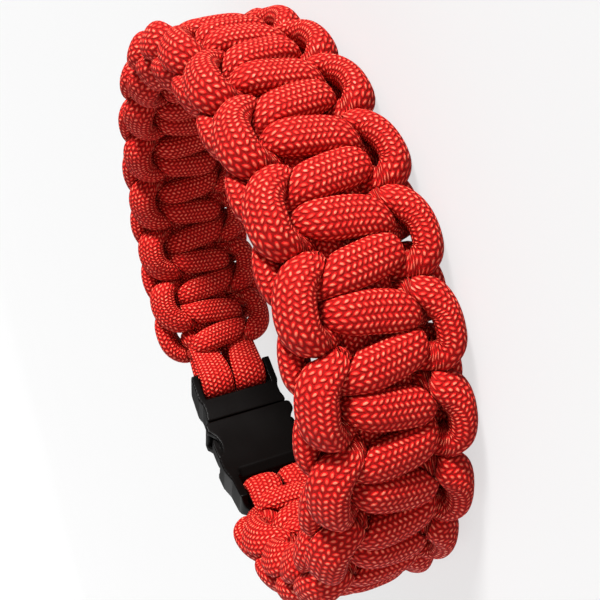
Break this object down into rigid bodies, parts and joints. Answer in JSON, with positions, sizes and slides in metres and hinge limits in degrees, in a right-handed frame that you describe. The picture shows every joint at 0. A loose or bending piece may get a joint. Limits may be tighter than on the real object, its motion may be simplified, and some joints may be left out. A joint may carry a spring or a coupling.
{
  "type": "paracord bracelet",
  "caption": "Closed bracelet of cord woven in the cobra stitch, with cord loops round the bars of a fastened black side-release buckle, lying on its side.",
  "frame": {"origin": "middle of the bracelet's box at its foot, on the surface that it lies on", "axes": "+Z along the ring's axis, +X along the long diameter of the oval, -Y towards the buckle"},
  "size_m": [0.0952, 0.0862, 0.0234],
  "materials": {
    "cord": "braided nylon sheath with a soft sheen",
    "buckle": "fine moulded grain, smoother on the edges"
  },
  "bodies": {
    "root": {"woven_band": "cord", "plug_loop_upper": "cord", "plug_loop_lower": "cord", "socket_loop_upper": "cord", "socket_loop_lower": "cord", "buckle_plug": "buckle", "buckle_socket": "buckle"}
  },
  "joints": []
}
